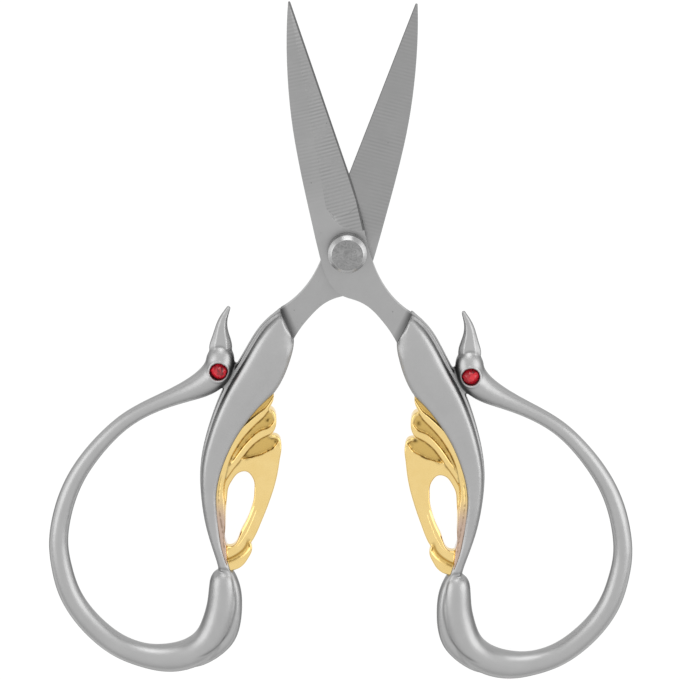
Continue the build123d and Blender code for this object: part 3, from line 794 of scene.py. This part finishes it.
# The wings: a plate cut to the outline, then its feathers raised and hollowed
wing = {
    "outline": [
        (-0.074, -0.328), (-0.086, -0.347), (-0.099, -0.370), (-0.114, -0.408),
        (-0.127, -0.448), (-0.136, -0.494), (-0.139, -0.547), (-0.134, -0.586),
        (-0.121, -0.625), (-0.104, -0.666), (-0.084, -0.708), (-0.060, -0.741),
        (-0.040, -0.727), (-0.028, -0.700), (-0.026, -0.680), (-0.032, -0.668),
        (-0.028, -0.655), (-0.022, -0.614), (-0.017, -0.561), (-0.016, -0.522),
        (-0.020, -0.476), (-0.026, -0.440), (-0.036, -0.425), (-0.053, -0.424),
        (-0.048, -0.410), (-0.050, -0.390), (-0.060, -0.372), (-0.071, -0.368),
        (-0.068, -0.345),
    ],
    "corners": (0, 11, 15, 23, 27),
    "hole": [
        (-0.087, -0.518), (-0.067, -0.526), (-0.054, -0.559), (-0.051, -0.593),
        (-0.058, -0.641), (-0.075, -0.688), (-0.085, -0.679), (-0.094, -0.645),
        (-0.106, -0.590), (-0.108, -0.550),
    ],
    "plate": 1.1, "round": 0.3, "voxel": 0.12, "smoothing": 2,
    "longRim": [  # the lower edge of the long feather, then the crease behind its rim
        (-0.060, -0.333), (-0.068, -0.360), (-0.077, -0.386), (-0.091, -0.410),
        (-0.104, -0.435), (-0.114, -0.461), (-0.121, -0.490), (-0.123, -0.514),
        (-0.122, -0.543), (-0.117, -0.572), (-0.108, -0.599), (-0.091, -0.654),
    ],
    "longCrease": [
        (-0.066, -0.330), (-0.073, -0.352), (-0.079, -0.368), (-0.091, -0.384),
        (-0.105, -0.405), (-0.117, -0.424), (-0.128, -0.448),
    ],
    "middleRim": [
        (-0.040, -0.420), (-0.052, -0.422), (-0.061, -0.428), (-0.074, -0.441),
        (-0.086, -0.459), (-0.095, -0.480), (-0.103, -0.500), (-0.113, -0.525),
        (-0.124, -0.560),
    ],
    "middleCrease": [
        (-0.050, -0.385), (-0.056, -0.400), (-0.063, -0.411), (-0.079, -0.423),
        (-0.093, -0.444), (-0.104, -0.467), (-0.113, -0.492), (-0.122, -0.518),
    ],
    "vaneCrease": [
        (-0.030, -0.428), (-0.036, -0.442), (-0.041, -0.453), (-0.052, -0.464),
        (-0.065, -0.475), (-0.080, -0.484), (-0.098, -0.493),
    ],
    "curlCrease": [
        (-0.036, -0.655), (-0.032, -0.666), (-0.032, -0.678), (-0.037, -0.692),
        (-0.046, -0.705), (-0.058, -0.717), (-0.072, -0.727),
    ],
    "stripGroove": [
        (-0.129, -0.500), (-0.131, -0.545), (-0.126, -0.580), (-0.115, -0.615),
        (-0.098, -0.655), (-0.085, -0.690),
    ],
    "holeGrooves": (
        [(-0.046, -0.560), (-0.050, -0.607), (-0.056, -0.641), (-0.066, -0.674), (-0.081, -0.690)],
        [(-0.041, -0.590), (-0.045, -0.627), (-0.050, -0.654), (-0.060, -0.681), (-0.076, -0.698)],
    ),
    "darkSpots": [(-0.067, -0.394), (-0.051, -0.430), (-0.038, -0.438), (-0.0905, -0.486)],
    "longHeight": 1.75, "middleHeight": 1.45, "vaneHeight": 1.1,
    "inside": (0.35, 0.75), "lips": (0.1, 0.45), "step": (-0.12, 0.12), "dishEdge": 0.16,
    "dishes": {  # depth and reach in mm, then the shares between which it grows in
        "vaneCrease": (0.50, 1.6, -0.497, -0.485),
        "middleCrease": (0.55, 1.1, -0.52, -0.47),
        "longCrease": (0.60, 1.0, -0.45, -0.42),
    },
    "hollows": {  # how far up the wing each hollow's dull grain and painted shade reach
        "vaneCrease": (-0.497, -0.485), "middleCrease": (-0.52, -0.46),
        "longCrease": (-0.45, -0.41),
    },
    "creaseDarkLines": {  # share, offset and reach in mm, then the shares between which it grows in
        "vaneCrease": (1.0, 0.08, 0.16, -0.497, -0.485),
        "middleCrease": (0.8, 0.1, 0.14, -1, -0.9),  # all along
        "longRim": (0.7, -0.12, 0.14, -0.56, -0.50),
        "middleRim": (0.6, -0.12, 0.14, -0.52, -0.50),
        "stripGroove": (0.6, 0, 0.14, -0.52, -0.56),
        "curlCrease": (0.5, 0.2, 0.12, -0.655, -0.672),
        "hole": (0.3, 0.2, 0.15, -0.60, -0.66),
    },
    "hollowEdge": 0.2, "grooveDepth": 0.14, "grooveWidth": 0.13, "holeGroove": (0.565, 0.60),
    "stripFrom": (0.50, 0.53), "lip": (0.05, -0.25, 0.22), "rimSwell": (0.10, 0.65, 0.4),
    "curl": 0.45, "curlAt": (0.45, 0.42), "curlFrom": (0.655, 0.672), "curlEdge": (0.2, 0.5),
    "bareFrom": (0.56, 0.64), "bareAcross": (0.055, 0.075), "darkSpotReach": 0.42,
    "topFrom": (0.25, 0.5),
}


# Half the wing's thickness at each point, and how hollow, creased and worn it is there
def wingRelief(flat):
    x, y = flat[:, 0] / handleReach, flat[:, 1] / handleReach
    names = (
        "longRim", "longCrease", "middleRim", "middleCrease", "vaneCrease", "curlCrease",
        "stripGroove",
    )
    far = {name: sideDistance(flat, smoothLine(wing[name])) for name in names}
    far["hole"] = np.abs(sideDistance(flat, smoothLine(wing["hole"] + wing["hole"][:1])))
    edge = np.abs(sideDistance(flat, smoothLine(wing["outline"] + wing["outline"][:1])))
    inside, lips = ease(edge, *wing["inside"]), ease(edge, *wing["lips"])
    swell, swellAt, swellWidth = wing["rimSwell"]
    lip, lipAt, lipWidth = wing["lip"]

    def dish(name):  # drops at the crease, then rises away from it
        drop, reach, start, end = wing["dishes"][name]
        part = ease(far[name], 0, wing["dishEdge"]) * ease(y, start, end)
        return drop * part * np.exp(-np.clip(far[name], 0, None) / reach)

    def filled(name):  # 1 all over the hollow behind a crease
        return ease(far[name], 0, wing["hollowEdge"]) * ease(y, *wing["hollows"][name])

    def groove(distance):
        return wing["grooveDepth"] * hump(distance, 0, wing["grooveWidth"])

    vane = wing["vaneHeight"] - dish("vaneCrease") * inside
    vane += lip * hump(far["vaneCrease"], lipAt, lipWidth)
    for line in wing["holeGrooves"]:
        cut = groove(sideDistance(flat, smoothLine(line)))
        vane -= cut * ease(-y, *wing["holeGroove"])
    curlPart = (far["curlCrease"] > -2) * ease(-y, *wing["curlFrom"])
    curlDish = hump(far["curlCrease"], *wing["curlAt"]) * curlPart * ease(edge, *wing["curlEdge"])
    vane -= wing["curl"] * curlDish
    middle = wing["middleHeight"] - dish("middleCrease") * inside
    middle += swell * hump(far["middleRim"], swellAt, swellWidth)
    long = wing["longHeight"] - dish("longCrease")
    long += swell * hump(far["longRim"], swellAt, swellWidth)
    long -= groove(far["stripGroove"]) * ease(-y, *wing["stripFrom"])

    onMiddle = ease(far["middleRim"], *wing["step"])
    onLong = ease(far["longRim"], *wing["step"])
    height = vane * (1 - onMiddle) + middle * onMiddle
    height = height * (1 - onLong) + long * onLong

    low = (1 - onMiddle) * (1 - onLong)
    hollowDullAndShade = np.maximum.reduce([
        low * filled("vaneCrease") * inside,
        (1 - onLong) * onMiddle * filled("middleCrease") * inside,
        onLong * filled("longCrease"),
        curlDish,
    ])

    def creaseDark(name):
        share, offset, reach, start, end = wing["creaseDarkLines"][name]
        return share * hump(far[name], offset, reach) * ease(y, start, end)

    crease = np.maximum.reduce([
        low * lips * creaseDark("vaneCrease"),
        (1 - onLong) * onMiddle * inside * creaseDark("middleCrease"),
        lips * creaseDark("longRim"),
        (1 - onLong) * lips * creaseDark("middleRim"),
        onLong * creaseDark("stripGroove"),
        lips * creaseDark("curlCrease"),
        creaseDark("hole"),
    ])
    for pair in wing["darkSpots"]:
        away = np.hypot(*(flat - np.array(pair) * handleReach).T)
        crease = np.maximum(crease, hump(away, 0, wing["darkSpotReach"]))
    bare = onLong * ease(-y, *wing["bareFrom"]) * ease(-x, *wing["bareAcross"])
    return height, hollowDullAndShade, crease, bare


def makePlate():
    curve = bpy.data.curves.new("plate", "CURVE")
    curve.dimensions = "2D"
    curve.fill_mode = "BOTH"
    curve.resolution_u = 10
    curve.extrude = (wing["plate"] - wing["round"]) * mm
    curve.bevel_depth = wing["round"] * mm
    curve.bevel_resolution = 3
    curve.offset = -wing["round"] * mm
    for points, corners in ((wing["outline"], wing["corners"]), (wing["hole"], ())):
        spline = curve.splines.new("BEZIER")
        spline.bezier_points.add(len(points) - 1)
        spline.use_cyclic_u = True
        for i, (point, pair) in enumerate(zip(spline.bezier_points, points)):
            point.co = spot(pair)
            kind = "VECTOR" if i in corners else "AUTO"
            point.handle_left_type = point.handle_right_type = kind
    holder = bpy.data.objects.new("plate", curve)
    bpy.context.scene.collection.objects.link(holder)
    graph = bpy.context.evaluated_depsgraph_get()
    mesh = bpy.data.meshes.new_from_object(holder.evaluated_get(graph))
    bpy.data.objects.remove(holder)
    bm = bmesh.new()
    bm.from_mesh(mesh)
    bmesh.ops.remove_doubles(bm, verts=bm.verts, dist=0.001 * mm)
    bmesh.ops.recalc_face_normals(bm, faces=bm.faces)
    bm.to_mesh(mesh)
    bm.free()
    return mesh


def makeWing(nodeName, name, half):
    mesh = baked(makePlate(), [
        ("REMESH", {"mode": "VOXEL", "voxel_size": wing["voxel"] * mm}),
        ("SMOOTH", {"factor": 0.5, "iterations": wing["smoothing"]}),
    ])
    mesh.transform(half["matrix"])
    places = placesIn(mesh, half)
    height, hollowDullAndShade, crease, bare = wingRelief(places[:, :2])
    places[:, 2] *= height / wing["plate"]
    top = ease(np.abs(places[:, 2]), *wing["topFrom"])
    putPlaces(mesh, half, places)
    mesh = baked(mesh, [("SMOOTH", {"factor": 0.5, "iterations": wing["smoothing"]})])
    paint(mesh, "hollowDullAndShadeShare", hollowDullAndShade * top)
    paint(mesh, "creaseShare", crease * top)
    paint(mesh, "bareShare", bare)
    mesh.name = name
    newPiece(name, mesh, polishedGilt, half["body"], nodeName)
    print(name, len(mesh.polygons), "faces")


makeWing("wing_left", "wingLeft", halves["rear"])
makeWing("wing_right", "wingRight", halves["front"])


# The eye stones: twelve facets round a table, with a ring of star facets
stone = {
    "radius": 1.5, "facets": 12,
    "levels": [(0.3, 1.5, 0), (0.62, 1.24, 15), (1.15, 0.72, 15)],  # height, radius, turn
}


def makeStone(nodeName, name, half, side):
    low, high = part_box(nodeName)
    centre = (low + high) / 2
    bm = bmesh.new()
    bmesh.ops.create_circle(
        bm, cap_ends=True, radius=stone["radius"] * mm, segments=stone["facets"]
    )
    face = list(bm.faces)[0]
    lastRadius, lastHeight = stone["radius"], 0
    for height, radius, turn in stone["levels"]:
        grown = bmesh.ops.extrude_face_region(bm, geom=[face])["geom"]
        rim = [item for item in grown if isinstance(item, bmesh.types.BMVert)]
        if lastHeight:
            bmesh.ops.delete(bm, geom=[face], context="FACES_ONLY")
        face = [item for item in grown if isinstance(item, bmesh.types.BMFace)][0]
        bmesh.ops.translate(bm, verts=rim, vec=(0, 0, (height - lastHeight) * mm))
        ratio = radius / lastRadius
        bmesh.ops.scale(bm, verts=rim, vec=(ratio, ratio, 1))
        twist = Matrix.Rotation(math.radians(turn), 3, "Z")
        bmesh.ops.rotate(bm, verts=rim, cent=(0, 0, 0), matrix=twist)
        lastRadius, lastHeight = radius, height
    bmesh.ops.triangulate(bm, faces=[f for f in bm.faces if len(f.verts) == 4])
    bmesh.ops.recalc_face_normals(bm, faces=bm.faces)
    if side < 0:
        turnedOver = Matrix.Rotation(math.pi, 3, "X")
        bmesh.ops.rotate(bm, verts=bm.verts, cent=(0, 0, 0), matrix=turnedOver)
    floor = low.z if side > 0 else high.z
    bmesh.ops.translate(bm, verts=bm.verts, vec=(centre.x, centre.y, floor))
    mesh = bpy.data.meshes.new(name)
    bm.to_mesh(mesh)
    bm.free()
    newPiece(name, mesh, redGlass, half["body"], nodeName, smooth=False)


makeStone("stone_left_front", "stoneLeftFront", halves["rear"], 1)
makeStone("stone_left_rear", "stoneLeftRear", halves["rear"], -1)
makeStone("stone_right_front", "stoneRightFront", halves["front"], 1)
makeStone("stone_right_rear", "stoneRightRear", halves["front"], -1)
print("stones set")


# The rivet and its washer, turned round the pivot's axis
def turned(name, profile, closed):
    bm = bmesh.new()
    corners = [bm.verts.new((r * mm, 0, z * mm)) for r, z in profile]
    pairs = list(zip(corners, corners[1:])) + ([(corners[-1], corners[0])] if closed else [])
    edges = [bm.edges.new(pair) for pair in pairs]
    bmesh.ops.spin(
        bm, geom=corners + edges, cent=(0, 0, 0), axis=(0, 0, 1), dvec=(0, 0, 0),
        angle=math.tau, steps=rivet["steps"], use_merge=True, use_duplicate=False,
    )
    bmesh.ops.remove_doubles(bm, verts=bm.verts, dist=0.001 * mm)
    bmesh.ops.recalc_face_normals(bm, faces=bm.faces)
    mesh = bpy.data.meshes.new(name)
    bm.to_mesh(mesh)
    bm.free()
    mesh = baked(mesh, [("BEVEL", {
        "width": rivet["bevel"] * mm, "segments": 3, "limit_method": "ANGLE",
        "angle_limit": math.radians(rivet["sharpAngle"]),
    })])
    # where the painted highlight goes: the chamfer's faces near the top
    rim = mesh.attributes.new("rimShare", "FLOAT", "FACE")
    low, high = rivet["rimTilt"]
    for face, value in zip(mesh.polygons, rim.data):
        value.value = float(face.center.z > rivet["rimFrom"] * mm and low < face.normal.z < high)
    return mesh


rivet = {
    "profile": [
        (0, 0), (2.45, 0), (2.7, 0.25), (2.7, 0.64), (2.0, 0.64), (2.0, 4.43),
        (3.34, 4.43), (3.34, 4.52), (3.47, 4.62), (3.50, 5.0), (3.50, 6.1),
        (3.45, 6.42), (2.87, 7.12), (2.77, 7.19), (2.64, 7.17), (0, 7.19),
    ],
    "washer": [(2.04, 0.64), (3.3, 0.64), (3.3, 1.14), (2.04, 1.14)],
    "steps": 96, "bevel": 0.1, "sharpAngle": 25, "rimFrom": 6.2, "rimTilt": (0.2, 0.9),
}
for name, nodeName, profile, closed in (
    ("rivet", "pivot_rivet", "profile", False), ("washer", "pivot_washer", "washer", True),
):
    mesh = turned(name, rivet[profile], closed)
    newPiece(name, mesh, turnedSteel, "front_half", nodeName)
print("rivet turned")


# A white table under large soft lights
studio = {
    "aim": (-1.315, -16.683, 2.8), "distance": 1.0, "tilt": 15, "lens": 296.5, "sensor": 36,
    "floorSize": 4.0, "shadowShare": 0.12, "floorColour": "#E4E4E4", "glow": 1.08,
    "sky": (0.50, 1.0), "skyFrom": (-0.1, 0.8),  # its level, from the horizon to the top
    "lamps": {  # place in m, size in m, brightness
        "left": ((-0.60, 0.05, 0.33), 0.62, 1.2),
        "right": ((0.62, 0.05, 0.31), 0.68, 1.35),
        "back": ((0.0, 0.74, 0.24), 0.60, 2.0),
    },
}


def makeStage():
    bm = bmesh.new()
    bmesh.ops.create_grid(bm, x_segments=1, y_segments=1, size=studio["floorSize"] / 2)
    mesh = bpy.data.meshes.new("tableTop")
    bm.to_mesh(mesh)
    bm.free()
    floor = bpy.data.objects.new("tableTop", mesh)
    bpy.context.scene.collection.objects.link(floor)
    material, tree = newMaterial("whitePaper")
    path = addNode(tree, "ShaderNodeLightPath")
    seen = path.outputs["Is Camera Ray"]
    for kind in ("Is Glossy Ray", "Is Transmission Ray"):
        seen = addNode(
            tree, "ShaderNodeMath", {"operation": "ADD", "use_clamp": True},
            {0: seen, 1: path.outputs[kind]},
        ).outputs[0]
    seen = addNode(
        tree, "ShaderNodeMath", {"operation": "MULTIPLY", 1: 1 - studio["shadowShare"]},
        {0: seen},
    )
    matt = addNode(tree, "ShaderNodeBsdfDiffuse", {"Color": linear(studio["floorColour"])})
    glow = addNode(
        tree, "ShaderNodeEmission", {"Color": (1, 1, 1, 1), "Strength": studio["glow"]}
    )
    mix = addNode(
        tree, "ShaderNodeMixShader",
        links={0: seen.outputs[0], 1: matt.outputs[0], 2: glow.outputs[0]},
    )
    addNode(tree, "ShaderNodeOutputMaterial", links={"Surface": mix.outputs[0]})
    mesh.materials.append(material)

    world = bpy.data.worlds.new("softStudio")
    bpy.context.scene.world = world
    world.use_nodes = True
    tree = world.node_tree
    tree.nodes.clear()
    coords = addNode(tree, "ShaderNodeTexCoord")
    parts = addNode(tree, "ShaderNodeSeparateXYZ", links={0: coords.outputs["Generated"]})
    level = addNode(
        tree, "ShaderNodeMapRange",
        {"interpolation_type": "SMOOTHSTEP",
         "From Min": studio["skyFrom"][0], "From Max": studio["skyFrom"][1],
         "To Min": studio["sky"][0], "To Max": studio["sky"][1]},
        {"Value": parts.outputs["Z"]},
    )
    back = addNode(
        tree, "ShaderNodeBackground", {"Color": (1, 1, 1, 1)}, {"Strength": level.outputs[0]}
    )
    addNode(tree, "ShaderNodeOutputWorld", links={"Surface": back.outputs[0]})

    for name, (place, size, brightness) in studio["lamps"].items():
        light = bpy.data.lights.new(name, "AREA")
        light.shape = "DISK"
        light.size = size
        light.energy = brightness * math.pi * math.pi * (size / 2) ** 2
        lamp = bpy.data.objects.new(name, light)
        bpy.context.scene.collection.objects.link(lamp)
        lamp.location = place
        lamp.rotation_euler = (-Vector(place)).to_track_quat("-Z", "Y").to_euler()

    camera = bpy.data.cameras.new("camera")
    camera.lens = studio["lens"]
    camera.sensor_width = studio["sensor"]
    holder = bpy.data.objects.new("camera", camera)
    bpy.context.scene.collection.objects.link(holder)
    tilt = math.radians(studio["tilt"])
    aim = Vector(studio["aim"]) * mm
    holder.location = aim + studio["distance"] * Vector((0, math.sin(tilt), math.cos(tilt)))
    holder.rotation_euler = (-tilt, 0, 0)
    bpy.context.scene.camera = holder
    bpy.context.scene.view_settings.view_transform = "Standard"


makeStage()
print("stage set")
